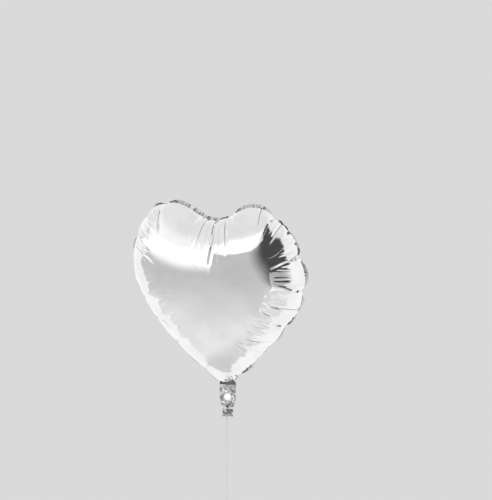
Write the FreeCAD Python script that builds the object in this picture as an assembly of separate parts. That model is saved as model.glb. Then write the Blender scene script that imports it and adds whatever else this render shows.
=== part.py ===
import FreeCAD, Part
import math
import os

# Heart-shaped foil balloon with its filling tail and its tied ribbon. Millimetres, +Z up.
# The origin is at the neck, where the point of the heart meets the tail. The front faces -Y.

V = FreeCAD.Vector

# Heart, measured along its weld line while it is full of gas
heart_width = 357.0        # across the widest place
point_height = 243.0       # neck up to the widest place
lobe_height = 126.0        # widest place up to the tops of the lobes
lobe_spacing = 160.0       # between the tops of the two lobes
cleft_depth = 25.0         # tops of the lobes down to the bottom of the cleft
balloon_depth = 212.0      # front to back
cleft_round = 34.0         # how far the bottom of the cleft runs level
lobe_inside = 28.0         # roundness of a lobe towards the cleft
lobe_outside = 52.0        # roundness of a lobe towards the shoulder
shoulder = 68.0            # roundness above the widest place
flank = 84.0               # roundness below the widest place
point_angle = 47.0         # each side of the point, from the upright
point_reach = 108.0        # straight run of each side up from the point
point_start = (22.0, 8.0)  # where that run starts, beside and above the neck
point_round = 8.0          # roundness of the point itself
axis_lean = 0.075          # sideways lean of the whole heart, per unit of height
lobe_drop = 0.075          # fall of the right lobe, and rise of the left, per unit of width
crown_below = 8.0          # middle of the dome, below the widest place
crown_fill = 1.05          # width of the dome's crown against the outline

# Film, thicker than the real film so that it makes a closed solid
foil = 0.5
valve_film = 0.15
weld_margin = 6.0          # flat welded rim outside the weld line

# Self-closing valve, two films that run from the tail up into the balloon
valve_width = 24.0
valve_rise = 60.0          # above the neck
valve_drop = 42.0          # below the neck
valve_start = 0.3

# Tail
hinge_gap = 0.9            # bare fold between the balloon's rim and the tail's film
tail_width = 34.0
gather_width = 22.0        # where the ribbon gathers it
gather_depth = 4.8
gather_top = 46.5          # below the neck, as are the next four
tie_drop = 50.0
waist_drop = 61.0
tail_length = 69.5
port_drop = 28.0
port_radius = 7.5          # inflation hole in the front foil
waist_width = 24.0
waist_depth = 3.6
roll_width = 22.0          # rolled end of the tail
roll_depth = 5.2

# Ribbon
ribbon_width = 5.0
ribbon_thick = 0.3
tie_thick = 0.6            # a few turns on each other
knot_size = (3.6, 2.3, 2.9)
knot_bite = 0.5            # how far the knot beds into the turns
ribbon_side = -3.0         # the ribbon leaves a little left of the middle
ribbon_clear = 0.3         # behind the turns and the rolled end
fold_gap = 0.6             # bare fold where the ribbon bends fore and aft
joint_clear = 0.3
fold_drop = 70.9           # below the neck, as are the next two
turn_drop = 77.0
end_drop = 266.0
end_knot_radius = 3.0
loop_radius = 15.0
loop_length = 58.0

# Worked out from the sizes above
half_width = heart_width / 2
half_depth = balloon_depth / 2
heart_height = point_height + lobe_height
cleft_height = heart_height - cleft_depth
crown_height = point_height - crown_below
crown_up = crown_fill * (cleft_height - crown_height)
crown_down = crown_fill * crown_height
crown_mean = (crown_down + crown_up) / 2
crown_egg = (crown_down - crown_up) / 2
ribbon_depth = max(gather_depth / 2 + tie_thick, waist_depth / 2, roll_depth / 2) + ribbon_clear
ribbon_middle = ribbon_depth + ribbon_thick / 2


def bezier(a, b, c, d, count):
    """Points along one cubic stretch, its last point left for the next stretch."""
    points = []
    for k in range(count):
        t = k / count
        s = 1 - t
        weights = (s ** 3, 3 * s * s * t, 3 * s * t * t, t ** 3)
        points.append(tuple(sum(w * p[i] for w, p in zip(weights, (a, b, c, d))) for i in (0, 1)))
    return points


def heart_outline():
    """The weld line, clockwise from the cleft, upright and even, as (x, z) pairs."""
    cleft = (0.0, cleft_height)
    top = (lobe_spacing / 2, heart_height)
    wide = (half_width, point_height)
    low = point_start
    angle = math.radians(point_angle)
    reach = (low[0] + point_reach * math.sin(angle), low[1] + point_reach * math.cos(angle))
    bottom = (0.0, hinge_gap)
    right = bezier(cleft, (cleft_round, cleft_height), (top[0] - lobe_inside, heart_height), top, 5)
    above = (half_width, point_height + shoulder)
    right += bezier(top, (top[0] + lobe_outside, heart_height), above, wide, 7)
    right += bezier(wide, (half_width, point_height - flank), reach, low, 8)
    bend = (low[0] - point_round * math.sin(angle), low[1] - point_round * math.cos(angle))
    right += bezier(low, bend, (point_round, hinge_gap), bottom, 3)
    left = [(-x, z) for x, z in reversed(right[1:])]
    return right + [bottom] + left


def skew(x, z):
    """Leans the heart and drops its right lobe; the neck stays where it is."""
    rise = math.sin(math.pi / 2 * min(max(z / heart_height, 0.0), 1.0))
    return x - axis_lean * z, z - lobe_drop * x * rise


def level(outline, turn, inset):
    """The dome's section at an angle above the weld: it shrinks and rounds off to an egg."""
    share = math.sin(turn) ** 2
    section = []
    for x, z in outline:
        dx, dz = x, z - crown_height
        reach = math.hypot(dx, dz)
        egg = crown_mean - crown_egg * dz / reach
        ex = egg * dx / reach * half_width / crown_mean
        ez = egg * dz / reach
        px = math.cos(turn) * ((1 - share) * dx + share * ex)
        pz = math.cos(turn) * ((1 - share) * dz + share * ez)
        keep = 1 - inset / math.hypot(px, pz)
        section.append(skew(px * keep, crown_height + pz * keep))
    return section


def loop_wire(points, y):
    """A smooth closed wire through points, in the plane at depth y."""
    curve = Part.BSplineCurve()
    curve.interpolate(Points=[V(x, y, z) for x, z in points], PeriodicFlag=True)
    return Part.Wire([curve.toShape()])


def dome(outline, side, inset):
    """Half of the inflated shape as a solid; side is -1 for the front and 1 for the back."""
    wires = []
    for degrees in (0, 12, 25, 38, 51, 64, 76, 85):
        turn = math.radians(degrees)
        depth = side * (half_depth - inset) * math.sin(turn)
        wires.append(loop_wire(level(outline, turn, inset), depth))
    return Part.makeLoft(wires, True, False)


def grown(outline, margin):
    """The outline moved outwards by margin."""
    count = len(outline)
    moved = []
    for k, (x, z) in enumerate(outline):
        before, after = outline[k - 1], outline[(k + 1) % count]
        dx, dz = after[0] - before[0], after[1] - before[1]
        size = math.hypot(dx, dz)
        moved.append((x - margin * dz / size, z + margin * dx / size))
    return moved


def slab(x0, x1, y0, y1, z0, z1):
    return Part.makeBox(x1 - x0, y1 - y0, z1 - z0, V(x0, y0, z0))


def panel(side):
    """One foil sheet of the balloon: a thin dome with its flat welded rim."""
    outline = heart_outline()
    rim = loop_wire([skew(x, z) for x, z in grown(outline, weld_margin)], 0)
    plate = Part.Face(rim).extrude(V(0, side * foil, 0))
    plate = plate.cut(slab(-half_width, half_width, -foil, foil, -heart_height, 0))
    sheet = plate.fuse(dome(outline, side, 0.0)).cut(dome(outline, side, foil))
    return sheet.cut(valve_sheet(side, -valve_start, valve_rise))


def valve_sheet(side, z0, z1):
    """One valve film between two heights, leaning with the heart where it is inside it."""
    half = valve_width / 2
    corners = [(-half, z0), (half, z0), (half, z1), (-half, z1)]
    if z1 > 0:
        corners = [(x - axis_lean * z, z) for x, z in corners]
    wire = Part.makePolygon([V(x, 0, z) for x, z in corners + corners[:1]])
    return Part.Face(wire).extrude(V(0, side * valve_film, 0))


def tail_sheet(side):
    """One foil sheet of the tail, from the fold at the neck down to the gathers."""
    top, low = tail_width / 2, gather_width / 2
    fall = gather_top - hinge_gap
    right = Part.BezierCurve()
    right.setPoles([V(top, 0, -hinge_gap), V(top, 0, -hinge_gap - fall * 0.55),
                    V(top, 0, -hinge_gap - fall * 0.8), V(low, 0, -gather_top)])
    left = Part.BezierCurve()
    left.setPoles([V(-p.x, 0, p.z) for p in reversed(right.getPoles())])
    across_low = Part.LineSegment(V(low, 0, -gather_top), V(-low, 0, -gather_top))
    across_top = Part.LineSegment(V(-top, 0, -hinge_gap), V(top, 0, -hinge_gap))
    wire = Part.Wire([c.toShape() for c in (right, across_low, left, across_top)])
    sheet = Part.Face(wire).extrude(V(0, side * foil, 0))
    sheet.translate(V(0, side * valve_film, 0))
    return sheet


def port_hole():
    """Cuts the inflation hole through the front foil only."""
    front = V(0, -foil - valve_film, -port_drop)
    return Part.makeCylinder(port_radius, foil + valve_film, front, V(0, 1, 0))


def bundle(grow):
    """The gathered and rolled end of the tail: ovals joined by straight sides down its length."""
    stations = (
        (gather_top, gather_width, gather_depth),
        (tie_drop + ribbon_width, gather_width, gather_depth),
        (waist_drop, waist_width, waist_depth),
        (tail_length, roll_width, roll_depth),
    )
    wires = []
    for drop, width, depth in stations:
        oval = Part.Ellipse(V(0, 0, 0), width / 2 + grow, depth / 2 + grow).toShape()
        oval.translate(V(0, 0, -drop))
        wires.append(Part.Wire([oval]))
    return Part.makeLoft(wires, True, True)


def ribbon_tie():
    """The turns of ribbon round the gathers."""
    half = ribbon_width / 2
    reach = gather_width
    band = slab(-reach, reach, -reach, reach, -tie_drop - half, -tie_drop + half)
    return bundle(tie_thick).common(band).cut(bundle(0.0))


def ribbon_knot():
    """The knot behind the tail, bedded in the turns."""
    scale = FreeCAD.Matrix()
    scale.scale(*knot_size)
    ball = Part.makeSphere(1.0).transformGeometry(scale)
    y = gather_depth / 2 + tie_thick + knot_size[1] - knot_bite
    ball.translate(V(ribbon_side, y, -tie_drop))
    return ball.cut(bundle(tie_thick))


def strip(z0, z1):
    """A straight flat run of ribbon between two heights."""
    half = ribbon_width / 2
    return slab(ribbon_side - half, ribbon_side + half, ribbon_depth, ribbon_depth + ribbon_thick, z0, z1)


def ribbon_drop():
    """The ribbon's first run, from the knot down behind the rolled end."""
    top = -tie_drop - knot_size[2] / 2
    return strip(-fold_drop + fold_gap / 2, top).cut(ribbon_knot())


def end_knot():
    return Part.makeSphere(end_knot_radius, V(ribbon_side, ribbon_middle, -end_drop))


def ribbon():
    """The long run, rounded at its top so that it can turn sideways, and straight to the knot."""
    axis_start = V(ribbon_side, ribbon_depth, -turn_drop)
    round_end = Part.makeCylinder(ribbon_width / 2, ribbon_thick, axis_start, V(0, 1, 0))
    return strip(-end_drop, -turn_drop).fuse(round_end).removeSplitter().cut(end_knot())


def teardrop(radius, apex):
    """A closed drop outline in the plane X = 0: an apex and two sides that meet an arc."""
    centre = -loop_length + loop_radius
    reach = apex - centre
    lift = radius * radius / reach
    side = math.sqrt(radius * radius - lift * lift)
    peak, foot = V(0, 0, apex), V(0, 0, centre - radius)
    left, right = V(0, -side, centre + lift), V(0, side, centre + lift)
    parts = (Part.LineSegment(peak, right), Part.Arc(right, foot, left), Part.LineSegment(left, peak))
    return Part.Face(Part.Wire([p.toShape() for p in parts]))


def hand_loop():
    """The loop below the end knot, its band as wide as the ribbon."""
    outer = teardrop(loop_radius, 0.0)
    slope = math.sqrt((loop_length - loop_radius) ** 2 - loop_radius ** 2) / (loop_length - loop_radius)
    band = outer.cut(teardrop(loop_radius - ribbon_thick, -ribbon_thick / math.sqrt(1 - slope * slope)))
    loop = band.extrude(V(ribbon_width, 0, 0))
    top = -end_drop - end_knot_radius - joint_clear
    loop.translate(V(ribbon_side - ribbon_width / 2, ribbon_middle, top))
    return loop


nodes = {
    "front_panel": panel(-1),
    "back_panel": panel(1),
    "neck_valve_front": valve_sheet(-1, valve_start, valve_rise),
    "neck_valve_back": valve_sheet(1, valve_start, valve_rise),
    "tail_front_foil": tail_sheet(-1).cut(port_hole()),
    "tail_back_foil": tail_sheet(1),
    "tail_valve_front": valve_sheet(-1, -valve_drop, -hinge_gap),
    "tail_valve_back": valve_sheet(1, -valve_drop, -hinge_gap),
    "tail_rolled_end": bundle(0.0),
    "ribbon_tie": ribbon_tie(),
    "ribbon_knot": ribbon_knot(),
    "ribbon_drop": ribbon_drop(),
    "ribbon_lead": strip(-turn_drop + ribbon_width / 2 + joint_clear, -fold_drop - fold_gap / 2),
    "ribbon": ribbon(),
    "end_knot": end_knot(),
    "hand_loop": hand_loop(),
}

os.makedirs("parts", exist_ok=True)
for name, shape in nodes.items():
    shape.exportStep("parts/" + name + ".step")
    box = shape.BoundBox
    print("%-18s solids %d valid %s volume %.1f mm3 size %.1f %.1f %.1f"
          % (name, len(shape.Solids), shape.isValid(), shape.Volume, box.XLength, box.YLength, box.ZLength))

run = end_drop - turn_drop
print("ribbon run %.1f mm, straight; volume %.2f against section times length %.2f"
      % (run, nodes["ribbon"].Volume, ribbon_width * ribbon_thick * run))
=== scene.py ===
import bpy
import math
import numpy as np
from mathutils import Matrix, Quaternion, Vector
from mathutils.geometry import delaunay_2d_cdt


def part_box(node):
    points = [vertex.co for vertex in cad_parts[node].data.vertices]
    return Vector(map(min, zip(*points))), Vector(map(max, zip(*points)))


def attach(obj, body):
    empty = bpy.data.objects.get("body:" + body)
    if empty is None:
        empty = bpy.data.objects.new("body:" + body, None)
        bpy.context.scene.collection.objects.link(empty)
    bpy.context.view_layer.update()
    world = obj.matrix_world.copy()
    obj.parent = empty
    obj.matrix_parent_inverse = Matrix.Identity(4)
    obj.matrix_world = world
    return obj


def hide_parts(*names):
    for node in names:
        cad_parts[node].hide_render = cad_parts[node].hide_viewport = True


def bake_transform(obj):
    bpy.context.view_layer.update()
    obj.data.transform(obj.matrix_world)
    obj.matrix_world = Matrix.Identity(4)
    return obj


# Heart foil balloon: two film sheets inflated by a small cloth solver, a crumpled filling tail and a ribbon.
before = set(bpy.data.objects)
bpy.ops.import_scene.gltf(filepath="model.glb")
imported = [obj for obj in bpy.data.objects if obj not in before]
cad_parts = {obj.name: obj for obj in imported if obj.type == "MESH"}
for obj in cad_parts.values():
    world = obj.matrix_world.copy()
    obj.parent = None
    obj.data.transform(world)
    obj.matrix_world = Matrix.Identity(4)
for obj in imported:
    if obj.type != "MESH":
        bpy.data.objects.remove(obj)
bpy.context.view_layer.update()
print("frame loaded")

cameraView = {
    "azimuth": 10.0, "elevation": 3.0,  # degrees
    "target": (0.0, 0.0, 0.2),  # middle of the heart
    "distance": 1.438,
    "slide": (0.0376, 0.0761),  # the camera stands this far right of the heart and above it
    "lens": 50.42,
}


def makeCamera(v):
    # looks along +Y turned by the azimuth, level apart from the elevation
    a, e = math.radians(v["azimuth"]), math.radians(v["elevation"])
    ahead = Vector((-math.sin(a) * math.cos(e), math.cos(a) * math.cos(e), -math.sin(e)))
    right = Vector((math.cos(a), math.sin(a), 0))
    up = right.cross(ahead)
    data = bpy.data.cameras.new("camera")
    data.lens = v["lens"]
    data.dof.use_dof = False
    data.clip_start, data.clip_end = 0.05, 50
    camera = bpy.data.objects.new("camera", data)
    bpy.context.scene.collection.objects.link(camera)
    camera.location = Vector(v["target"]) - ahead * v["distance"] + right * v["slide"][0] + up * v["slide"][1]
    camera.rotation_mode = "QUATERNION"
    camera.rotation_quaternion = ahead.to_track_quat("-Z", "Y")
    bpy.context.scene.camera = camera


makeCamera(cameraView)

ribbonSize = {
    "width": 0.005, "thick": 0.00022, "x": -0.003, "y": 0.00345,
    "route": [(-0.003, 0.00345, -0.0500), (-0.003, 0.00345, -0.0740), (-0.003, 0.00345, -0.1400),
              (-0.003, 0.00345, -0.2050), (-0.003, 0.00345, -0.2645)],  # held taut, knot to knot
    "step": 0.0012,
    "wave": (0.00016, 0.0001), "twist": 0.16, "rib": 0.12, "ribs": 3,
}


def readRoute(points, step):
    # the route's NURBS line, read back and spaced evenly
    curve = bpy.data.curves.new("route", "CURVE")
    curve.dimensions = "3D"
    spline = curve.splines.new("NURBS")
    spline.points.add(len(points) - 1)
    for target, place in zip(spline.points, points):
        target.co = (*place, 1)
    spline.order_u = 3
    spline.use_endpoint_u = True
    spline.resolution_u = 32
    holder = bpy.data.objects.new("route", curve)
    mesh = bpy.data.meshes.new_from_object(holder)
    line = np.empty(len(mesh.vertices) * 3)
    mesh.vertices.foreach_get("co", line)
    line = line.reshape(-1, 3)
    bpy.data.objects.remove(holder)
    bpy.data.curves.remove(curve)
    bpy.data.meshes.remove(mesh)
    run = np.concatenate([[0], np.cumsum(np.linalg.norm(np.diff(line, axis=0), axis=1))])
    at = np.linspace(0, run[-1], int(run[-1] / step) + 1)
    return np.stack([np.interp(at, run, line[:, k]) for k in range(3)], 1)


ribbonLine = readRoute(ribbonSize["route"], ribbonSize["step"])
ribbonRun = np.linalg.norm(np.diff(ribbonLine, axis=0), axis=1).sum()
print("camera and ribbon route made, ribbon", round(ribbonRun, 4), "m")


def makePiece(name, points, faces, material=None, body=None, smooth=True):
    # points and faces are whole arrays; every face has the same number of corners
    faces = np.asarray(faces, np.int32)
    mesh = bpy.data.meshes.new(name)
    mesh.vertices.add(len(points))
    mesh.vertices.foreach_set("co", np.asarray(points, np.float32).ravel())
    mesh.loops.add(faces.size)
    mesh.loops.foreach_set("vertex_index", faces.ravel())
    mesh.polygons.add(len(faces))
    mesh.polygons.foreach_set("loop_start", np.arange(0, faces.size, faces.shape[1], dtype=np.int32))
    mesh.polygons.foreach_set("use_smooth", np.full(len(faces), smooth))
    mesh.update(calc_edges=True)
    piece = bpy.data.objects.new(name, mesh)
    bpy.context.scene.collection.objects.link(piece)
    if material:
        mesh.materials.append(material)
    if body:
        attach(piece, body)
    return piece


def pushThickness(piece, thick):
    # the sheet keeps this surface as its inner face and grows outwards
    wall = piece.modifiers.new("thickness", "SOLIDIFY")
    wall.thickness = thick
    wall.offset = 1.0
    wall.use_even_offset = False


def gridFaces(rows, columns, closedRows=False, closedColumns=False):
    # quads of a grid whose points are stored row by row
    i = np.arange(rows if closedRows else rows - 1)[:, None]
    j = np.arange(columns if closedColumns else columns - 1)[None, :]
    i2, j2 = (i + 1) % rows, (j + 1) % columns
    corners = [i * columns + j, i * columns + j2, i2 * columns + j2, i2 * columns + j]
    return np.stack([c.ravel() for c in np.broadcast_arrays(*corners)], 1)


def smoothStep(x, low, high):
    # 0 below low, 1 above high, and 3tt - 2ttt between them
    t = np.clip((x - low) / (high - low), 0, 1)
    return t * t * (3 - 2 * t)



def unit(v):
    # rows brought to length one
    return v / np.linalg.norm(v, axis=1)[:, None]


def alongLoop(path):
    # the way a closed path runs at each point, from the point before to the point after
    return unit(np.roll(path, -1, axis=0) - np.roll(path, 1, axis=0))


heartCut = {  # metres, the flat weld line, point at the origin
    "cleft": 0.429, "cleftLevel": 0.028,
    "lobe": (0.086, 0.4393), "lobeIn": 0.0285, "lobeOut": 0.0825,
    "widest": (0.225, 0.264), "shoulder": 0.085, "flank": 0.096,
    "pointAngle": 64.5, "pointReach": 0.140,
    "neckHalf": 0.0155, "neckReach": 0.035, "neckHigh": 0.0055,
    "rimWidth": 0.006, "filmThick": 0.0002,
    "jitter": 0.12, "rimGap": 0.6,  # lattice points, in steps: how far off place, and how clear of the weld
}
heartLean = {"lean": 0.075, "drop": 0.075, "height": 0.369}  # the same slant as the frame's panels


def bezierRun(a, b, c, d, count=160):
    # (1-t)^3 a + 3(1-t)^2 t b + 3(1-t) t^2 c + t^3 d
    t = np.linspace(0, 1, count, endpoint=False)[:, None]
    a, b, c, d = (np.array(p, float) for p in (a, b, c, d))
    return (1 - t) ** 3 * a + 3 * (1 - t) ** 2 * t * b + 3 * (1 - t) * t * t * c + t ** 3 * d


def weldLine(h):
    # the right half as three cubic runs from the cleft to the neck, then the same mirrored
    lx, lz = h["lobe"]
    wx, wz = h["widest"]
    a = math.radians(h["pointAngle"])
    n = h["neckHalf"]
    reach = (n + h["pointReach"] * math.sin(a), h["pointReach"] * math.cos(a))
    right = np.concatenate([
        bezierRun((0, h["cleft"]), (h["cleftLevel"], h["cleft"]), (lx - h["lobeIn"], lz), (lx, lz)),
        bezierRun((lx, lz), (lx + h["lobeOut"], lz), (wx, wz + h["shoulder"]), (wx, wz)),
        bezierRun((wx, wz), (wx, wz - h["flank"]), reach, (n, 0)),
        [(n, 0)],
    ])
    left = right[::-1] * (-1, 1)
    return np.concatenate([right, left[:-1]])


def evenSteps(loop, step):
    # points of a closed line, spaced evenly along it
    closed = np.vstack([loop, loop[:1]])
    run = np.concatenate([[0], np.cumsum(np.linalg.norm(np.diff(closed, axis=0), axis=1))])
    at = np.linspace(0, run[-1], int(round(run[-1] / step)) + 1)[:-1]
    return np.stack([np.interp(at, run, closed[:, k]) for k in (0, 1)], 1)


def insideLoop(points, loop):
    # counts the loop's edges crossed by a ray towards +x
    x, z = points[:, :1], points[:, 1:]
    a, b = loop, np.roll(loop, -1, axis=0)
    crossing = (a[:, 1] > z) != (b[:, 1] > z)
    at = (b[:, 0] - a[:, 0]) * (z - a[:, 1]) / (b[:, 1] - a[:, 1] + 1e-15) + a[:, 0]
    return (crossing & (x < at)).sum(1) % 2 == 1


def nearestOnRim(points, rim):
    # distance to the rim, and how far along the rim the nearest point is
    ends = np.roll(rim, -1, axis=0)
    span = ends - rim
    length = np.linalg.norm(span, axis=1)
    start = np.concatenate([[0], np.cumsum(length)[:-1]])
    distance = np.empty(len(points))
    along = np.empty(len(points))
    for low in range(0, len(points), 4000):
        p = points[low:low + 4000, None]
        t = np.clip(((p - rim) * span).sum(2) / length ** 2, 0, 1)
        d = np.linalg.norm(rim + t[..., None] * span - p, axis=2)
        k = d.argmin(1)
        row = np.arange(len(k))
        distance[low:low + 4000] = d[row, k]
        along[low:low + 4000] = start[k] + t[row, k] * length[k]
    return distance, along, start[-1] + length[-1]


def cutSheets(h, step, rng):
    # one flat sheet as a jittered triangle lattice, its welded rim, and the second sheet sharing the weld line
    rim = evenSteps(weldLine(h), step)
    n = len(rim)
    low, high = rim.min(0), rim.max(0)
    rows = np.arange(low[1], high[1], step * math.sqrt(3) / 2)
    columns = np.arange(low[0], high[0], step)
    x, z = np.meshgrid(columns, rows)
    x[1::2] += step / 2
    lattice = np.stack([x.ravel(), z.ravel()], 1)
    lattice += rng.uniform(-h["jitter"], h["jitter"], lattice.shape) * step
    lattice = lattice[insideLoop(lattice, rim)]
    lattice = lattice[nearestOnRim(lattice, rim)[0] > h["rimGap"] * step]
    corners = [Vector(p) for p in np.vstack([rim, lattice])]
    loop = [(i, (i + 1) % n) for i in range(n)]
    made = delaunay_2d_cdt(corners, loop, [], 1, 1e-7)
    flat = np.array([tuple(p) for p in made[0]])
    sheet = np.array([tuple(f) for f in made[2]])
    count = len(flat)
    tangent = np.roll(rim, -1, axis=0) - np.roll(rim, 1, axis=0)
    outward = unit(np.stack([-tangent[:, 1], tangent[:, 0]], 1))
    margin = rim + outward * h["rimWidth"]
    i = np.flatnonzero((rim[:, 1] > 1e-6) | (np.roll(rim, -1, axis=0)[:, 1] > 1e-6))  # none below the neck
    j = (i + 1) % n
    band = np.concatenate([np.stack([i, j, j + count], 1), np.stack([i, j + count, i + count], 1)])
    twin = np.concatenate([np.arange(n), np.arange(count + n, 2 * count)])
    flatAll = np.vstack([flat, margin, flat[n:]])
    tri = np.concatenate([sheet, band, twin[sheet]])
    part = np.repeat([0, 1, 2], [len(sheet), len(band), len(sheet)])
    a, b, c = (flatAll[tri[:, k]] for k in range(3))
    turn = (b - a)[:, 0] * (c - a)[:, 1] - (b - a)[:, 1] * (c - a)[:, 0]
    wrong = (turn > 0) == (part == 2)  # the front and the rim run one way round, the back the other
    tri[wrong] = tri[wrong][:, ::-1]
    return flatAll, tri, part, rim, count


inflation = {
    "mesh": 0.008,
    "startHigh": 0.012, "startReach": 0.05, "shake": 0.0004, "finerShake": 0.0001,
    "stages": [  # each stage halves the mesh
        {"steps": 320, "push": 0.001, "fold": 0.1, "bend": 0.02},
        {"steps": 260, "push": 0.0003, "fold": 0.12, "bend": 0.03},
        {"steps": 120, "push": 0.00012, "fold": 0.7, "bend": 0.01},
    ],
    "damping": 0.96, "sweeps": 2, "rimFold": 0.3, "seed": 2,
}


def edgesOf(tri):
    # every edge once, its lower corner first
    pairs = np.sort(np.concatenate([tri[:, [0, 1]], tri[:, [1, 2]], tri[:, [2, 0]]]), axis=1)
    return np.unique(pairs, axis=0)


def acrossEdges(tri):
    # the two far corners of each pair of neighbouring triangles
    edge = np.sort(np.concatenate([tri[:, [0, 1]], tri[:, [1, 2]], tri[:, [2, 0]]]), axis=1)
    far = np.concatenate([tri[:, 2], tri[:, 0], tri[:, 1]])
    key = edge[:, 0].astype(np.int64) * 10 ** 7 + edge[:, 1]
    order = np.argsort(key, kind="stable")
    same = np.flatnonzero(key[order][:-1] == key[order][1:])
    return np.stack([far[order[same]], far[order[same + 1]]], 1)


def separateGroups(pairs, count, rng):
    # splits links into groups in which no point appears twice, so that each group moves at once
    left = np.arange(len(pairs))
    groups = []
    while len(left):
        taken = np.zeros(0, int)
        rest = left
        for _ in range(7):
            used = np.zeros(count, bool)
            used[pairs[taken].ravel()] = True
            free = rest[~(used[pairs[rest, 0]] | used[pairs[rest, 1]])]
            if not len(free):
                break
            rank = rng.permutation(len(free)) + 1.0
            best = np.zeros(count)
            np.maximum.at(best, pairs[free, 0], rank)
            np.maximum.at(best, pairs[free, 1], rank)
            won = free[(best[pairs[free, 0]] == rank) & (best[pairs[free, 1]] == rank)]
            taken = np.concatenate([taken, won])
            rest = np.setdiff1d(rest, won)
        groups.append(taken)
        left = rest
    return groups


def settle(x, links, skin, steps, push, damping, sweeps):
    # each step moves points on, pushes them along the skin's normals, then restores every link's length
    speed = np.zeros_like(x)
    corner = skin.ravel()
    for _ in range(steps):
        a, b, c = (x[skin[:, k]] for k in range(3))
        normal = np.cross(b - a, c - a)
        lift = np.stack([np.bincount(corner, np.repeat(normal[:, k], 3), len(x)) for k in range(3)], 1)
        y = x + damping * speed + push * lift
        for _ in range(sweeps):
            for i, j, rest, stretch, squeeze in links:
                d = y[j] - y[i]
                now = np.sqrt((d * d).sum(1))
                extra = now - rest
                share = np.where(extra > 0, stretch, squeeze)
                d *= (0.5 * share * extra / np.maximum(now, 1e-9))[:, None]
                y[i] += d
                y[j] -= d
        speed = y - x
        x = y
    return x


def halveMesh(x, flat, tri, part):
    # each triangle becomes four
    edge = edgesOf(tri)
    key = edge[:, 0].astype(np.int64) * len(x) + edge[:, 1]

    def middle(a, b):
        return len(x) + np.searchsorted(key, np.minimum(a, b).astype(np.int64) * len(x) + np.maximum(a, b))

    a, b, c = tri.T
    ab, bc, ca = middle(a, b), middle(b, c), middle(c, a)
    four = [np.stack(t, 1) for t in ((a, ab, ca), (b, bc, ab), (c, ca, bc), (ab, bc, ca))]
    x = np.vstack([x, (x[edge[:, 0]] + x[edge[:, 1]]) / 2])
    flat = np.vstack([flat, (flat[edge[:, 0]] + flat[edge[:, 1]]) / 2])
    return x, flat, np.concatenate(four), np.tile(part, 4)


def inflate(h, v):
    # two flat sheets start as a low cushion, the root of the distance to the weld, and are blown up mesh by mesh
    rng = np.random.default_rng(v["seed"])
    flat, tri, part, rim, count = cutSheets(h, v["mesh"], rng)
    depth = nearestOnRim(flat, rim)[0]
    side = np.where(np.arange(len(flat)) < count, -1.0, 1.0)
    depth[count:count + len(rim)] = 0
    x = np.stack([flat[:, 0], side * v["startHigh"] * np.sqrt(np.clip(depth / v["startReach"], 0, 1)), flat[:, 1]], 1)
    x[:, 1] += rng.standard_normal(len(x)) * v["shake"]
    step = v["mesh"]
    stages = v["stages"]
    for level, stage in enumerate(stages):
        if level:
            x, flat, tri, part = halveMesh(x, flat, tri, part)
            x += rng.standard_normal(x.shape) * v["finerShake"]
            step /= 2
        edge = edgesOf(tri)
        bend = np.concatenate([acrossEdges(tri[part == p]) for p in (0, 1, 2)])
        rimOnly = np.isin(edge, np.unique(tri[part == 1])).all(1)
        squeeze = np.where(rimOnly, v["rimFold"], stage["fold"])
        links = []
        for pairs, stretch, fold in ((edge, np.ones(len(edge)), squeeze),
                                     (bend, np.full(len(bend), stage["bend"]), np.full(len(bend), stage["bend"]))):
            rest = np.linalg.norm(flat[pairs[:, 0]] - flat[pairs[:, 1]], axis=1)
            for g in separateGroups(pairs, len(x), rng):
                links.append((pairs[g, 0], pairs[g, 1], rest[g], stretch[g], fold[g]))
        vertexArea = step * step * math.sqrt(3)
        x = settle(x, links, tri[part != 1], stage["steps"], stage["push"] * step / vertexArea,
                   v["damping"], v["sweeps"])
        print("inflated stage", level, len(x), "points, size", (x.max(0) - x.min(0)).round(4))
    return x, flat, tri, part, rim


def slant(p):
    # leans the upright heart, lifts its left lobe and drops its right one
    q = p.copy()
    rise = np.sin(np.pi / 2 * np.clip(p[:, 2] / heartLean["height"], 0, 1))
    q[:, 0] = p[:, 0] - heartLean["lean"] * p[:, 2]
    q[:, 2] = p[:, 2] - heartLean["drop"] * p[:, 0] * rise
    return q


def fitToFrame(p, dome, margin):
    # stands the neck at the origin and scales each way to the CAD panels' box, less the welded rim
    low, high = (np.array(c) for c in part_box("front_panel"))
    high[1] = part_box("back_panel")[1][1]
    low = low + (margin, 0, 0)
    high = high - (margin, 0, margin)
    p = p - ((p[dome, 0].max() + p[dome, 0].min()) / 2, 0, p[dome, 2].min())
    p = slant(p)
    first, last = p[dome].min(0), p[dome].max(0)
    print("inflated size", (last - first).round(4), "frame", (high - low).round(4))
    return (p - first) * ((high - low) / (last - first)) + low


def straightenNeck(p, flat, rim, h):
    # draws the neck's seam into one straight level line just above the tail's hinge, so that the film bulging
    # each side of it ends level with the hinge; film higher up follows by a share that fades out
    neck = np.flatnonzero(rim[:, 1] < 1e-6)
    neck = neck[np.argsort(rim[neck, 0])]
    beside = np.clip(np.abs(flat[:, 0]) - h["neckHalf"], 0, None)
    share = 1 - smoothStep(np.hypot(beside, flat[:, 1]), 0, h["neckReach"])
    q = p.copy()
    for k, level in ((1, 0.0), (2, h["neckHigh"])):
        q[:, k] += share * (level - np.interp(flat[:, 0], rim[neck, 0], p[neck, k]))
    return q


heartX, heartFlat, heartTri, heartPart, heartRim = inflate(heartCut, inflation)
heartX = fitToFrame(heartX, np.unique(heartTri[heartPart != 1]), heartCut["rimWidth"])
heartX = straightenNeck(heartX, heartFlat, heartRim, heartCut)
print("heart fitted, neck straightened")


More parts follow.
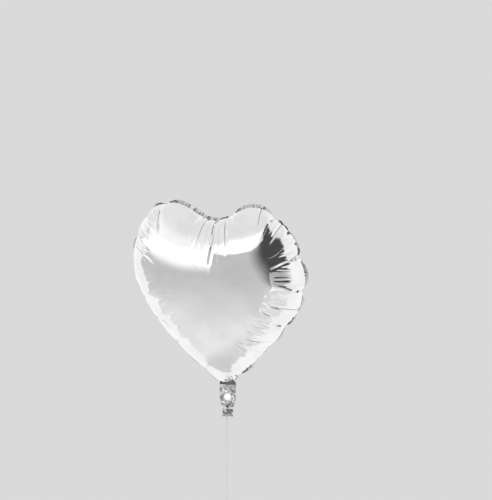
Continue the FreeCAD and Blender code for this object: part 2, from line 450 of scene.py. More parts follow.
def surfaceNormals(points, faces):
    # each corner's normal is the mean of its faces' normals, by area
    a, b, c = (points[faces[:, k]] for k in (0, 1, 2))
    n = np.cross(b - a, c - a)
    total = np.zeros_like(points)
    for k in range(faces.shape[1]):
        np.add.at(total, faces[:, k], n)
    return total / np.maximum(np.linalg.norm(total, axis=1), 1e-12)[:, None]


foldLines = {  # sharp creases running in from the weld: across and up, in metres, then how deep they are pressed
    "front": [
        ([(-0.018, 0.345), (-0.011, 0.300), (-0.016, 0.250)], 0.0017),
        ([(-0.036, 0.345), (-0.040, 0.310), (-0.050, 0.277)], 0.0010),
        ([(0.002, 0.345), (0.011, 0.305), (0.014, 0.268)], 0.0010),
        ([(-0.132, 0.356), (-0.126, 0.308)], 0.0013),
        ([(0.072, 0.360), (0.071, 0.320)], 0.0013),
        ([(0.114, 0.330), (0.091, 0.286)], 0.0013),
        ([(0.152, 0.274), (0.131, 0.256), (0.098, 0.241)], 0.0014),
        ([(0.152, 0.157), (0.120, 0.166), (0.088, 0.176)], 0.0013),
        ([(-0.182, 0.284), (-0.145, 0.266), (-0.122, 0.247)], 0.0007),
        ([(-0.124, 0.137), (-0.100, 0.124)], 0.0009),
        ([(0.074, 0.100), (0.046, 0.107)], 0.0009),
    ],
    "width": 0.0042, "fullDepth": 0.0014,
    "backCount": 15, "backTurn": 0.35, "backLength": (0.03, 0.085), "backDepth": (0.0008, 0.0015),
    "backMiddle": (-0.015, 0.215),  # they run roughly towards here
    "seed": 5,
}


def pressFolds(p, tri, lines, f):
    # a straight-sided valley along each line, shallower towards its inner end;
    # marks keeps the signed distance from the line and the fade along it
    normal = surfaceNormals(p, tri)
    seen = np.unique(tri)
    flat = p[seen][:, [0, 2]]
    push = np.zeros(len(seen))
    side = np.ones(len(seen))
    fading = np.zeros(len(seen))
    for line, depth in lines:
        run = 0.0
        whole = sum(math.dist(a, b) for a, b in zip(line, line[1:]))
        best = np.zeros(len(seen))
        for a, b in zip(line, line[1:]):
            a, span = np.array(a), np.array(b) - np.array(a)
            length = np.linalg.norm(span)
            t = np.clip(((flat - a) @ span) / length ** 2, 0, 1)
            away = np.linalg.norm(flat - a - t[:, None] * span, axis=1)
            fade = 1 - ((run + t * length) / whole) ** 2
            best = np.maximum(best, np.clip(1 - away / f["width"], 0, 1) * fade)
            near = away < np.abs(side)
            turn = np.sign(span[0] * (flat - a)[:, 1] - span[1] * (flat - a)[:, 0])
            side[near] = (away * turn)[near]
            fading[near] = fade[near] * depth / f["fullDepth"]
            run += length
        push += depth * best
    p[seen] -= normal[seen] * push[:, None]
    marks = np.zeros((len(p), 2))
    marks[:, 0] = 1
    marks[seen] = np.stack([side, fading], 1)
    return marks


def foldHeart(f):
    # the front's own creases, and seeded ones on the back that run in from evenly spread places on the rim
    rng = np.random.default_rng(f["seed"])
    front = pressFolds(heartX, heartTri[heartPart == 0], f["front"], f)
    back = []
    rimLine = heartX[:len(heartRim)][:, [0, 2]]
    middle = np.array(f["backMiddle"])
    for k in range(f["backCount"]):
        start = rimLine[int((k + rng.uniform(0.1, 0.9)) / f["backCount"] * len(rimLine))]
        inward = (middle - start) / np.linalg.norm(middle - start)
        turn = rng.uniform(-f["backTurn"], f["backTurn"])
        inward = np.array((inward[0] * math.cos(turn) - inward[1] * math.sin(turn),
                           inward[0] * math.sin(turn) + inward[1] * math.cos(turn)))
        length = rng.uniform(*f["backLength"])
        line = [tuple(start + inward * length * share) for share in (0, 0.5, 1)]
        back.append((line, rng.uniform(*f["backDepth"])))
    return {0: front, 2: pressFolds(heartX, heartTri[heartPart == 2], back, f)}


foldMarks = foldHeart(foldLines)
print("creases pressed")


def feed(tree, value, socket):
    # a number or a colour is set on the socket itself, and another node's output is linked to it
    if isinstance(value, (int, float)):
        socket.default_value = value
    elif isinstance(value, tuple):
        socket.default_value = (*value, 1)
    else:
        tree.links.new(value, socket)


def mathNode(tree, kind, *values):
    n = tree.nodes.new("ShaderNodeMath")
    n.operation = kind
    for k, v in enumerate(values):
        feed(tree, v, n.inputs[k])
    return n.outputs[0]


def times(tree, a, b):
    return mathNode(tree, "MULTIPLY", a, b)


def plus(tree, a, b):
    return mathNode(tree, "ADD", a, b)


def mapRange(tree, value, fromLow, fromHigh, low=0.0, high=1.0, smooth=True):
    n = tree.nodes.new("ShaderNodeMapRange")
    n.interpolation_type = "SMOOTHSTEP" if smooth else "LINEAR"
    given = (("Value", value), ("From Min", fromLow), ("From Max", fromHigh), ("To Min", low), ("To Max", high))
    for key, v in given:
        feed(tree, v, n.inputs[key])
    return n.outputs["Result"]


def between(tree, share, low, high):
    # low where the share is 0, high where it is 1, straight between them
    return mapRange(tree, share, 0, 1, low, high, smooth=False)


def mixColour(tree, factor, first, second):
    n = tree.nodes.new("ShaderNodeMix")
    n.data_type = "RGBA"
    tree.links.new(factor, n.inputs["Factor"])
    for key, v in (("A", first), ("B", second)):
        feed(tree, v, [s for s in n.inputs if s.name == key and s.type == "RGBA"][0])
    return [s for s in n.outputs if s.type == "RGBA"][0]


def noise(tree, vector, scale, detail=2.0, output="Fac"):
    n = tree.nodes.new("ShaderNodeTexNoise")
    n.inputs["Detail"].default_value = detail
    feed(tree, scale, n.inputs["Scale"])
    feed(tree, vector, n.inputs["Vector"])
    return n.outputs[output]


def newGroup(name, inputs, outputs):
    g = bpy.data.node_groups.new(name, "ShaderNodeTree")
    for key, kind, value in inputs:
        s = g.interface.new_socket(name=key, in_out="INPUT", socket_type=kind)
        if value is not None:
            s.default_value = value
    for key in outputs:
        g.interface.new_socket(name=key, in_out="OUTPUT", socket_type="NodeSocketFloat")
    return g, g.nodes.new("NodeGroupInput").outputs, g.nodes.new("NodeGroupOutput").inputs


def makeHandlingMarks():
    # creases, clouded patches and fine scratches left by handling thin film; on the tail and its rolled end the same
    # patches and creases carry painted shade
    inputs = [("Vector", "NodeSocketVector", None), ("Scale", "NodeSocketFloat", 30.0),
              ("Creases", "NodeSocketFloat", 0.5)]
    g, given, out = newGroup("handlingMarks", inputs, ("Patch", "Crease", "Height"))
    patch = noise(g, given["Vector"], given["Scale"], 3.0)
    fine = noise(g, given["Vector"], times(g, given["Scale"], 9.0), 2.0)
    cells = g.nodes.new("ShaderNodeTexVoronoi")
    cells.feature = "DISTANCE_TO_EDGE"
    g.links.new(times(g, given["Scale"], 1.7), cells.inputs["Scale"])
    bent = g.nodes.new("ShaderNodeVectorMath")
    bent.operation = "MULTIPLY_ADD"
    g.links.new(noise(g, given["Vector"], given["Scale"], 1.0, "Color"), bent.inputs[0])
    bent.inputs[1].default_value = (0.02, 0.02, 0.02)
    g.links.new(given["Vector"], bent.inputs[2])
    g.links.new(bent.outputs[0], cells.inputs["Vector"])
    line = mapRange(g, cells.outputs["Distance"], 0.0, 0.035, 1.0, 0.0)
    here = mapRange(g, patch, 0.47, 0.62)
    crease = times(g, times(g, line, here), given["Creases"])
    g.links.new(mapRange(g, patch, 0.35, 0.68), out["Patch"])
    g.links.new(crease, out["Crease"])
    height = plus(g, times(g, patch, 0.8), times(g, fine, 0.06))
    g.links.new(mathNode(g, "SUBTRACT", height, times(g, crease, 0.25)), out["Height"])
    return g


def makeSeamPucker():
    # close-set puckers square to the weld, in bunches, and the crimped weld itself
    inputs = [("Along", "NodeSocketFloat", None), ("Inward", "NodeSocketFloat", None),
              ("Pitch", "NodeSocketFloat", 0.0065), ("Crimp Pitch", "NodeSocketFloat", 0.0031)]
    g, given, out = newGroup("seamPucker", inputs, ("Pucker", "Weld", "Rim", "Crimp"))
    line = g.nodes.new("ShaderNodeCombineXYZ")
    g.links.new(given["Along"], line.inputs["X"])
    place = line.outputs[0]
    bunch = mapRange(g, noise(g, place, 24.0, 1.0), 0.40, 0.60)
    drift = times(g, noise(g, place, 70.0, 2.0), 9.0)
    turn = mathNode(g, "DIVIDE", given["Along"], given["Pitch"])
    wave = mathNode(g, "SINE", plus(g, times(g, turn, 2 * math.pi), drift))
    reach = mapRange(g, noise(g, place, 55.0, 1.0), 0.3, 0.7, 0.016, 0.040, smooth=False)
    fade = mapRange(g, given["Inward"], 0.001, reach, 1.0, 0.0)
    g.links.new(times(g, times(g, wave, fade), bunch), out["Pucker"])
    rim = mapRange(g, given["Inward"], 0.0002, -0.0004)
    off = mathNode(g, "ABSOLUTE", plus(g, given["Inward"], -0.0001))
    weld = mapRange(g, off, 0.0005, 0.0011, 1.0, 0.0)
    dash = mapRange(g, noise(g, place, 160.0, 2.0), 0.38, 0.55)
    g.links.new(times(g, weld, between(g, dash, 0.45, 1.0)), out["Weld"])
    g.links.new(rim, out["Rim"])
    tooth = mathNode(g, "DIVIDE", given["Along"], given["Crimp Pitch"])
    crimp = mathNode(g, "SINE", times(g, tooth, 2 * math.pi))
    g.links.new(plus(g, times(g, times(g, crimp, 0.5), rim), times(g, dash, rim)), out["Crimp"])
    return g


handlingMarks = makeHandlingMarks()
seamPucker = makeSeamPucker()


def startMaterial(name, **values):
    m = bpy.data.materials.new(name)
    m.use_nodes = True
    shader = m.node_tree.nodes["Principled BSDF"]
    for key, v in values.items():
        shader.inputs[key.replace("_", " ")].default_value = (*v, 1) if isinstance(v, tuple) else v
    return m, m.node_tree, shader


def placeGroup(tree, group, **values):
    n = tree.nodes.new("ShaderNodeGroup")
    n.node_tree = group
    for key, v in values.items():
        feed(tree, v, n.inputs[key.replace("_", " ")])
    return n.outputs


def bump(tree, shader, height):
    # height in metres
    n = tree.nodes.new("ShaderNodeBump")
    n.inputs["Strength"].default_value = 1.0
    n.inputs["Distance"].default_value = 1.0
    tree.links.new(height, n.inputs["Height"])
    tree.links.new(n.outputs[0], shader.inputs["Normal"])


def attribute(tree, name):
    n = tree.nodes.new("ShaderNodeAttribute")
    n.attribute_name = name
    return n.outputs["Fac"]


def makePressedFold():
    # a hard crease in the film: a thin dark line of painted shade, a little wider where it starts
    inputs = [("Side", "NodeSocketFloat", None), ("Fade", "NodeSocketFloat", None)]
    g, given, out = newGroup("pressedFold", inputs, ("Line", "Height"))
    away = mathNode(g, "ABSOLUTE", given["Side"])
    here = mapRange(g, given["Fade"], 0.02, 0.6)
    wide = between(g, given["Fade"], 0.0006, 0.0014)
    g.links.new(times(g, mapRange(g, away, 0.0001, wide, 1.0, 0.0), here), out["Line"])
    valley = mapRange(g, away, 0.0, 0.0045, -1.0, 0.0, smooth=False)
    g.links.new(times(g, valley, here), out["Height"])
    return g


pressedFold = makePressedFold()

foilLook = {
    "clean": (0.925, 0.928, 0.932), "cloudyAndShade": (0.86, 0.865, 0.872),
    # weld and rim tones are painted dark reflection on the silver rim; fold is painted shade along the pressed
    # creases
    "weld": (0.20, 0.20, 0.205), "fold": (0.26, 0.26, 0.265), "rim": (0.40, 0.40, 0.405),
    "polished": 0.035, "dulled": 0.085, "rimRough": 0.30,
    "marksScale": 26.0, "creases": 0.35, "marksDepth": 0.00016, "foldDepth": 0.0006,
    "puckerDepth": 0.00030, "puckerPitch": 0.0065, "crimpDepth": 0.00012, "crimpPitch": 0.0031,
}


def balloonFoil(look):
    # mirror film: the weld and the rim are darker lines of painted dark reflection, the pressed creases darker lines
    # of painted shade, and all four effects add to its relief
    m, tree, shader = startMaterial("balloonFoil", Metallic=1.0)
    where = tree.nodes.new("ShaderNodeTexCoord").outputs["Object"]
    seam = tree.nodes.new("ShaderNodeUVMap")
    seam.uv_map = "seam"
    split = tree.nodes.new("ShaderNodeSeparateXYZ")
    tree.links.new(seam.outputs[0], split.inputs[0])
    marks = placeGroup(tree, handlingMarks, Vector=where, Scale=look["marksScale"], Creases=look["creases"])
    pucker = placeGroup(tree, seamPucker, Along=split.outputs["X"], Inward=split.outputs["Y"],
                        Pitch=look["puckerPitch"], Crimp_Pitch=look["crimpPitch"])
    colour = mixColour(tree, marks["Patch"], look["clean"], look["cloudyAndShade"])
    # painted dark reflection on the rim band, lighter on the crimp's teeth and dashes
    crimpTone = mapRange(tree, pucker["Crimp"], -0.4, 1.2, 1.0, 0.15, smooth=False)
    colour = mixColour(tree, times(tree, pucker["Rim"], crimpTone), colour, look["rim"])
    fold = placeGroup(tree, pressedFold, Side=attribute(tree, "foldSide"), Fade=attribute(tree, "foldFade"))
    # painted shade along the pressed creases
    colour = mixColour(tree, fold["Line"], colour, look["fold"])
    # the dashed weld line in painted dark reflection
    tree.links.new(mixColour(tree, pucker["Weld"], colour, look["weld"]), shader.inputs["Base Color"])
    rough = between(tree, marks["Patch"], look["polished"], look["dulled"])
    rough = between(tree, pucker["Rim"], rough, look["rimRough"])
    tree.links.new(rough, shader.inputs["Roughness"])
    height = times(tree, marks["Height"], look["marksDepth"])
    for relief, deep in ((pucker["Pucker"], "puckerDepth"), (pucker["Crimp"], "crimpDepth"),
                         (fold["Height"], "foldDepth")):
        height = plus(tree, height, times(tree, relief, look[deep]))
    bump(tree, shader, height)
    return m


foil = balloonFoil(foilLook)

# the tail's foil is the balloon's silver film with painted shade: its clean tone is darker, and its patches and
# creases are darker still
tailShadedLook = {
    "clean": (0.74, 0.743, 0.75), "cloudyAndShade": (0.30, 0.302, 0.31), "crease": (0.30, 0.302, 0.31),
    "polished": 0.06, "dulled": 0.20, "marksScale": 120.0, "creases": 0.8, "marksDepth": 0.00005,
    "pinch": (0.09, 0.09, 0.092), "pinchHigh": (-0.0036, -0.0012),  # painted shade where the heart's point pinches it
}
# the rolled end: the same silver foil with deeper painted shade
rolledShadedLook = {
    **tailShadedLook, "clean": (0.52, 0.522, 0.53), "cloudyAndShade": (0.16, 0.161, 0.165), "crease": (0.16, 0.161, 0.165),
    "marksScale": 90.0,
}
ribbonLook = {  # pearly, with a soft satin patchiness
    "clean": (0.86, 0.82, 0.82), "cloudyAndShade": (0.80, 0.735, 0.74), "crease": (0.93, 0.91, 0.905),
    "polished": 0.30, "dulled": 0.46, "marksScale": 220.0, "creases": 0.3, "marksDepth": 0.00005,
}
valveLook = {  # milky and soft
    "clean": (0.985, 0.985, 0.985), "cloudyAndShade": (0.95, 0.952, 0.955),
    "polished": 0.42, "dulled": 0.60, "marksScale": 90.0, "creases": 0.04, "marksDepth": 0.00003,
}


def handledFilm(name, look, **values):
    # clean film that turns clouded and duller by patches, with creases in their own tone where the look has one; for
    # the tail and its rolled end these tones are painted shade
    m, tree, shader = startMaterial(name, **values)
    where = tree.nodes.new("ShaderNodeTexCoord").outputs["Object"]
    marks = placeGroup(tree, handlingMarks, Vector=where, Scale=look["marksScale"], Creases=look["creases"])
    colour = mixColour(tree, marks["Patch"], look["clean"], look["cloudyAndShade"])
    if "crease" in look:
        colour = mixColour(tree, marks["Crease"], colour, look["crease"])
    # painted shade along the tail's top, where the heart's point pinches it
    if "pinch" in look:
        up = tree.nodes.new("ShaderNodeSeparateXYZ")
        tree.links.new(where, up.inputs[0])
        broken = between(tree, marks["Patch"], 1.0, 0.55)
        pinch = times(tree, mapRange(tree, up.outputs["Z"], *look["pinchHigh"]), broken)
        colour = mixColour(tree, pinch, colour, look["pinch"])
    tree.links.new(colour, shader.inputs["Base Color"])
    rough = between(tree, marks["Patch"], look["polished"], look["dulled"])
    tree.links.new(rough, shader.inputs["Roughness"])
    bump(tree, shader, times(tree, marks["Height"], look["marksDepth"]))
    return m


tailFoilShaded = handledFilm("tailFoilShaded", tailShadedLook, Metallic=1.0)
rolledFoilShaded = handledFilm("rolledFoilShaded", rolledShadedLook, Metallic=1.0)
ribbonFilm = handledFilm("ribbonFilm", ribbonLook, Coat_Weight=0.25, Coat_Roughness=0.2, Sheen_Weight=0.15)
valveFilm = handledFilm("valveFilm", valveLook, IOR=1.45, Coat_Weight=0.15, Coat_Roughness=0.25,
                        Emission_Color=(1.0, 1.0, 1.0), Emission_Strength=0.22)  # a painted glow standing for light through the film from behind
for node in ("neck_valve_front", "neck_valve_back", "tail_valve_front", "tail_valve_back"):
    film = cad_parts[node]
    film = bpy.data.objects[film] if isinstance(film, str) else film
    film.data.materials.clear()
    film.data.materials.append(valveFilm)
print("materials made")


def makeSheet(name, number, replaced):
    # one film sheet: its dome and its half of the welded rim
    mine = (heartPart == number) | (heartPart == 1)
    tri = heartTri[mine].copy()
    if number == 2:
        rimPart = heartPart[mine] == 1
        tri[rimPart] = tri[rimPart][:, ::-1]
    used, at = np.unique(tri, return_inverse=True)
    tri = at.reshape(tri.shape)
    points = heartX[used]
    piece = makePiece(name, points, tri, foil)
    distance, along, around = nearestOnRim(heartFlat[used], heartRim)
    distance[~np.isin(used, heartTri[heartPart == number])] *= -1  # outside the weld
    uv = piece.data.uv_layers.new(name="seam")
    corner = np.empty(len(piece.data.loops), np.int32)
    piece.data.loops.foreach_get("vertex_index", corner)
    uv.data.foreach_set("uv", np.stack([along, distance], 1)[corner].astype(np.float32).ravel())
    for key, column in (("foldSide", 0), ("foldFade", 1)):
        mark = piece.data.attributes.new(key, "FLOAT", "POINT")
        mark.data.foreach_set("value", foldMarks[number][used, column].astype(np.float32))
    pushThickness(piece, heartCut["filmThick"])
    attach(piece, "balloon")
    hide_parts(replaced)


makeSheet("frontSheet", 0, "front_panel")
makeSheet("backSheet", 2, "back_panel")
print("sheets made")

tailShape = {
    "rows": [  # height, half width, half depth, pleat depth
        (0.0045, 0.0158, 0.0014, 0.0), (0.0, 0.0172, 0.0014, 0.0), (-0.0022, 0.0174, 0.0010, 0.0),
        (-0.0052, 0.0176, 0.0026, 0.0), (-0.010, 0.0176, 0.0021, 0.0002), (-0.028, 0.0170, 0.0022, 0.0003),
        (-0.039, 0.0156, 0.0024, 0.0008), (-0.0455, 0.0132, 0.0027, 0.0014), (-0.0490, 0.0104, 0.0024, 0.0010),
        (-0.0510, 0.0104, 0.0024, 0.0010), (-0.0550, 0.0112, 0.0022, 0.0009), (-0.0610, 0.0108, 0.0019, 0.0005),
    ],
    "around": 220, "down": 190,
    "thick": 0.00016,
    "crumple": 0.0016, "facets": (0.014, 0.0075), "pleats": 7,
    "hole": (-0.0003, -0.028), "holeRadius": 0.0080,
    "holeFlat": (0.007, 0.0115),  # the crumple sets in between these distances from the hole's middle
    "holeCatch": 0.00022,  # points this near the hole's edge are moved onto it
    "underFold": {"tip": -0.0425, "rise": 0.95, "reach": 0.0095, "high": 0.0012, "half": 0.0017},  # a V under it
    "seed": 7,
}


def crumpled(u, v, scale, rng, folds=6):
    # flat facets meeting in straight creases: the mean of several zigzags lying in different directions
    total = np.zeros_like(u)
    for _ in range(folds):
        angle, size, shift = rng.uniform(0, math.pi), scale * rng.uniform(0.7, 1.9), rng.uniform(0, 1)
        p = (u * math.cos(angle) + v * math.sin(angle)) / size + shift
        total += (np.abs((p % 1) - 0.5) * 4 - 1) * size / scale
    return total / folds


def thicken(points, faces, thick):
    # closes a sheet into a thin wall: the second skin lies inside the first
    count = len(points)
    inner = points - surfaceNormals(points, faces) * thick
    k = faces.shape[1]
    start = np.concatenate([faces[:, i] for i in range(k)])
    end = np.concatenate([faces[:, (i + 1) % k] for i in range(k)])
    forward = start.astype(np.int64) * count + end
    backward = end.astype(np.int64) * count + start
    border = ~np.isin(forward, backward)
    a, b = start[border], end[border]
    rim = np.stack([b, a, a + count, b + count], 1)
    if k == 3:
        rim = np.concatenate([rim[:, [0, 1, 2]], rim[:, [0, 2, 3]]])
    return np.vstack([points, inner]), np.concatenate([faces, faces[:, ::-1] + count, rim])


def makeTail(t):
    # a flat oval tube: across is the half width times sine, deep is the half depth times cosine, each to a power,
    # and the crumple, the pleats towards the tie and the fold under the hole are added to the depth
    rng = np.random.default_rng(t["seed"])
    rows = np.array(t["rows"])[::-1]
    z = np.linspace(rows[-1, 0], rows[0, 0], t["down"])
    half, deep, pleat = (np.interp(z, rows[:, 0], rows[:, k]) for k in (1, 2, 3))
    turn = np.linspace(0, 2 * math.pi, t["around"], endpoint=False)
    side, face = np.sin(turn), np.cos(turn)
    x = half[:, None] * np.sign(side) * np.abs(side) ** 0.9
    y = -deep[:, None] * np.sign(face) * np.abs(face) ** 0.7
    height = np.repeat(z[:, None], len(turn), 1)
    fold = crumpled(x + 0.3 * np.sign(face) * 0.02, height, t["facets"][0], rng, 3)
    small = crumpled(x - 0.01 * np.sign(face), height, t["facets"][1], rng, 2)
    free = smoothStep(-height, 0.0005, 0.012)
    nearHole = smoothStep(np.hypot(x - t["hole"][0], height - t["hole"][1]), *t["holeFlat"])
    nearHole = np.where(face > 0, nearHole, 1)
    phase = t["pleats"] * (turn / math.pi + 0.08 * np.sin(3 * turn)) + 12 * height / 0.05
    gather = pleat[:, None] * (np.abs(phase % 2 - 1) * 2 - 1)
    lift = free * nearHole * (t["crumple"] * fold + 0.45 * t["crumple"] * small) + gather
    v = t["underFold"]
    off = np.abs(height - (v["tip"] + v["rise"] * np.abs(x + 0.0005))) / math.hypot(1, v["rise"])
    crest = v["high"] * np.clip(1 - off / v["half"], 0, 1) * (np.abs(x) < v["reach"]) * (face > 0)
    lift = lift + crest
    y = y + np.where(face > 0, -1, 1) * np.abs(face) ** 0.4 * lift
    x = x * (1 + 0.035 * free * crumpled(height, 0 * height + np.sign(side) * 3, 0.009, rng, 3))
    points = np.stack([x.ravel(), y.ravel(), height.ravel()], 1)
    faces = gridFaces(t["down"], t["around"], closedColumns=True)[:, ::-1]
    # cut the filling hole through the front wall
    centre = np.array(t["hole"])
    front = points[:, 1] < 0
    away = np.hypot(points[:, 0] - centre[0], points[:, 2] - centre[1])
    ring = front & (np.abs(away - t["holeRadius"]) < t["holeCatch"])
    scale = t["holeRadius"] / np.maximum(away[ring], 1e-6)
    points[ring, 0] = centre[0] + (points[ring, 0] - centre[0]) * scale
    points[ring, 2] = centre[1] + (points[ring, 2] - centre[1]) * scale
    away = np.hypot(points[:, 0] - centre[0], points[:, 2] - centre[1])
    inHole = front & (away < t["holeRadius"] - 1e-6)
    faces = faces[~inHole[faces].any(1)]
    used, at = np.unique(faces, return_inverse=True)
    points, faces = thicken(points[used], at.reshape(faces.shape), t["thick"])
    piece = makePiece("tailFoil", points, faces, tailFoilShaded)
    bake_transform(piece)
    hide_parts("tail_front_foil", "tail_back_foil")


makeTail(tailShape)

rolledShape = {
    "half": 0.0104, "start": -0.0575, "centre": -0.0655, "tall": 0.0038, "deep": 0.0026, "lip": 0.0009,
    "turns": 2.6, "gap": 0.00038, "thick": 0.00016, "steps": 150, "leadSteps": 24, "across": 70,
    "dent": 0.00045, "facet": 0.007, "seed": 11,
}


def makeRolledEnd(r):
    # the tail's end folded up on itself like a flat scroll: an oval whose half sizes shrink as it turns
    rng = np.random.default_rng(r["seed"])
    n = r["steps"]
    turn = np.linspace(0, r["turns"] * 2 * math.pi, n)
    shrink = r["gap"] * turn / (2 * math.pi) * 1.7
    y = -(r["deep"] - shrink) * np.cos(turn)
    z = r["centre"] - (r["tall"] - shrink) * np.sin(turn)
    lead = np.linspace(0, 1, r["leadSteps"], endpoint=False)
    y = np.concatenate([-r["lip"] - (r["deep"] - r["lip"]) * lead ** 2, y])
    z = np.concatenate([r["start"] + (r["centre"] - r["start"]) * lead, z])
    x = np.linspace(-r["half"], r["half"], r["across"])
    rows, columns = len(y), len(x)
    px = np.repeat(x[None, :], rows, 0)
    run = np.repeat(np.linspace(0, 1, rows)[:, None], columns, 1) * 0.06
    dent = crumpled(px, run, r["facet"], rng, 5) * r["dent"]
    py = y[:, None] * (1 + 0.1 * np.sin(px * 310)) + dent * np.sign(y[:, None])
    pz = z[:, None] + 0.0006 * np.sin(px * 240 + 1) + dent * 0.8
    px = px * (1 + 0.06 * np.sin(run * 260)) - 0.0002
    points = np.stack([px.ravel(), py.ravel(), pz.ravel()], 1)
    faces = gridFaces(rows, columns)
    points, faces = thicken(points, faces, r["thick"])
    piece = makePiece("rolledEnd", points, faces, rolledFoilShaded, "tail")
    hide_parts("tail_rolled_end")


makeRolledEnd(rolledShape)
print("tail made")


def sweep(path, across, out, outline, closed=False):
    # carries a closed outline (columns: across, out) along a path, given the two side directions at each point
    n, k = len(path), len(outline)
    points = path[:, None] + across[:, None] * outline[None, :, :1] + out[:, None] * outline[None, :, 1:]
    faces = gridFaces(n, k, closedRows=closed, closedColumns=True)
    points = points.reshape(-1, 3)
    if not closed:
        caps = np.array([[i, i + 1, k - 2 - i, k - 1 - i] for i in range(k // 2 - 1)])
        faces = np.concatenate([faces, caps, caps[:, ::-1] + (n - 1) * k])
    a, b, c = (points[faces[:200, i]] for i in (0, 1, 2))
    middle = path[np.minimum(faces[:200, 0] // k, n - 1)]
    if (np.cross(b - a, c - a) * (a - middle)).sum() < 0:
        faces = faces[:, ::-1]
    return points, faces


def stripOutline(width, thick, count=9):
    # a flat band's cross-section, lengthwise ribs along its middle
    s = np.linspace(-0.5, 0.5, count)
    rib = ribbonSize["rib"] * np.cos(s * 2 * math.pi * ribbonSize["ribs"])
    upper = np.stack([s * width, thick * (0.5 + rib)], 1)
    lower = np.stack([s * width, thick * (-0.5 + rib)], 1)[::-1]
    return np.concatenate([upper, lower])


def ribbonStrip(name, start, end, replaced, seed):
    # a straight run of curling ribbon with a faint twist and wave
    rng = np.random.default_rng(seed)
    path = ribbonLine[(ribbonLine[:, 2] <= start) & (ribbonLine[:, 2] >= end)].copy()
    z = path[:, 2]
    long, short = ribbonSize["wave"]
    path[:, 1] += long * np.sin(z * 230 + rng.uniform(0, 6)) + short * np.sin(z * 610)
    twist = ribbonSize["twist"] * np.sin(z * 42 + 0.5)
    across = np.stack([np.cos(twist), np.sin(twist), 0 * z], 1)
    out = np.stack([-np.sin(twist), np.cos(twist), 0 * z], 1)
    points, faces = sweep(path, across, out, stripOutline(ribbonSize["width"], ribbonSize["thick"]))
    piece = makePiece(name, points, faces, ribbonFilm)
    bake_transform(piece)
    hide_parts(*replaced)
    return piece


ribbonNeck = ribbonStrip("ribbonNeck", -0.0500, -0.0757,
                         ("ribbon_drop", "ribbon_lead"), 3)
ribbonLong = ribbonStrip("ribbonLong", -0.0752, -0.2645,
                         ("ribbon",), 4)

tieShape = {
    "height": -0.0500, "half": (0.0112, 0.0032), "turns": 3, "wide": 0.0017, "thick": 0.0005,
    "pitch": 0.0008, "slope": 0.0007, "grow": 0.012,
}


def makeTie(t):
    # three turns of ribbon drawn into a narrow band round the gathered tail
    every, allFaces, total = [], [], 0
    for k in range(t["turns"]):
        turn = np.linspace(0, 2 * math.pi, 120, endpoint=False)
        lift = (k - 1) * t["pitch"] + t["slope"] * np.sin(turn + k * 2.1)
        grow = 1 + t["grow"] * k
        x = t["half"][0] * grow * np.sign(np.cos(turn)) * np.abs(np.cos(turn)) ** 0.8
        y = t["half"][1] * grow * np.sign(np.sin(turn)) * np.abs(np.sin(turn)) ** 0.75
        path = np.stack([x, y, t["height"] + lift], 1)
        ahead = alongLoop(path)
        out = unit(np.stack([ahead[:, 1], -ahead[:, 0], 0 * x], 1))
        across = np.cross(out, ahead)
        points, faces = sweep(path, across, out, stripOutline(t["wide"], t["thick"]), closed=True)
        every.append(points)
        allFaces.append(faces + total)
        total += len(points)
    piece = makePiece("tieTurns", np.vstack(every), np.vstack(allFaces), ribbonFilm, "tail")
    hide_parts("ribbon_tie")


makeTie(tieShape)


knotShape = {
    "tie": (0.0042, 0.0032, 0.0040), "end": (0.0060, 0.0060, 0.0060),  # across, deep and tall
    "strand": (0.44, 0.26),  # the strand's width and thickness, as shares of the knot's least size
}


def makeKnot(name, centre, size, body, replaced):
    # a trefoil of ribbon pulled tight: sin t + 2 sin 2t across, cos t - 2 cos 2t up, and a wave of three deep
    t = np.linspace(0, 2 * math.pi, 140, endpoint=False)
    path = np.stack([np.sin(t) + 2 * np.sin(2 * t), np.cos(t) - 2 * np.cos(2 * t), -1.6 * np.sin(3 * t)], 1) / 3
    path = path[:, [0, 2, 1]] * (np.array(size) * 0.5 * 0.66) + np.array(centre)
    ahead = alongLoop(path)
    across = unit(np.cross(ahead, path - np.array(centre)))
    out = np.cross(ahead, across)
    angle = np.linspace(0, 2 * math.pi, 12, endpoint=False)
    wide, thin = (share * min(size) for share in knotShape["strand"])
    outline = np.stack([wide * np.cos(angle) / 1.4, thin * np.sin(angle) / 1.2], 1)
    points, faces = sweep(path, across, out, outline, closed=True)
    piece = makePiece(name, points, faces, ribbonFilm, body)
    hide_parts(replaced)
    return piece


knotLow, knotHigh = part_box("ribbon_knot")
makeKnot("tieKnot", tuple((knotLow + knotHigh) / 2), knotShape["tie"], "tail", "ribbon_knot")
endLow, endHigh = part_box("end_knot")
endKnot = makeKnot("endKnot", tuple((endLow + endHigh) / 2), knotShape["end"], "ribbon", "end_knot")


loopShape = {
    "fullest": 0.77,  # sin t sin half t at its widest
    "clear": 0.0002, "overlap": 0.0012,  # inside the frame's box, and up into the end knot
    "sway": 0.0008,
}


def makeLoop(h):
    # a teardrop hand loop, its two arms meeting in the end knot: sin t times sin half t across, cos t down
    low, high = (np.array(c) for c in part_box("hand_loop"))
    t = np.linspace(0, 2 * math.pi, 160, endpoint=False)
    wide = (high[1] - low[1]) / 2 / h["fullest"] - h["clear"]
    y = ribbonSize["y"] + wide * np.sin(t) * np.sin(t / 2)
    z = high[2] + h["overlap"] - (high[2] - low[2] + h["overlap"]) * (1 - np.cos(t)) / 2
    path = np.stack([np.full(len(t), ribbonSize["x"]) + h["sway"] * np.sin(t), y, z], 1)
    ahead = alongLoop(path)
    ahead[0] = (0, 1, 0)  # level where the two arms meet
    across = np.repeat(np.array([[1.0, 0, 0]]), len(t), 0)
    out = np.cross(ahead, across)
    points, faces = sweep(path, across, out, stripOutline(ribbonSize["width"], ribbonSize["thick"]), closed=True)
    piece = makePiece("handLoop", points, faces, ribbonFilm, "hand_loop")
    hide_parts("hand_loop")
    return piece


handLoop = makeLoop(loopShape)
print("ribbon made")

